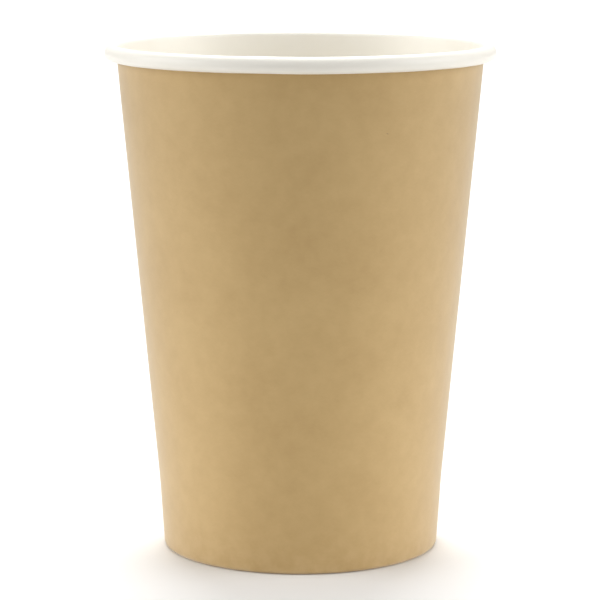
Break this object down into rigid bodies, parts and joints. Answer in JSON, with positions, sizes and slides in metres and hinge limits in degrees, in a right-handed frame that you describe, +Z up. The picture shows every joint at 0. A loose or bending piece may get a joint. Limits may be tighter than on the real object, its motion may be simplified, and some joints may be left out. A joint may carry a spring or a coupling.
{
  "type": "paper cup",
  "caption": "Single-wall paper drinking cup: tapered kraft wall with a white coated lining, side seam, rolled rim for a push-on lid, folded foot and recessed base.",
  "frame": {"origin": "on the cup's axis at the level of the surface it stands on", "axes": "+Z up along the cup's axis, towards the mouth; the side seam stands between 5 and 19 degrees from +X towards +Y"},
  "size_m": [0.09, 0.09, 0.117],
  "materials": {
    "kraft_board": "matte kraft outside, white coated inside",
    "white_board": "satin coated above, matte uncoated below"
  },
  "bodies": {
    "root": {"sidewall": "kraft_board", "base_disc": "white_board"}
  },
  "joints": []
}
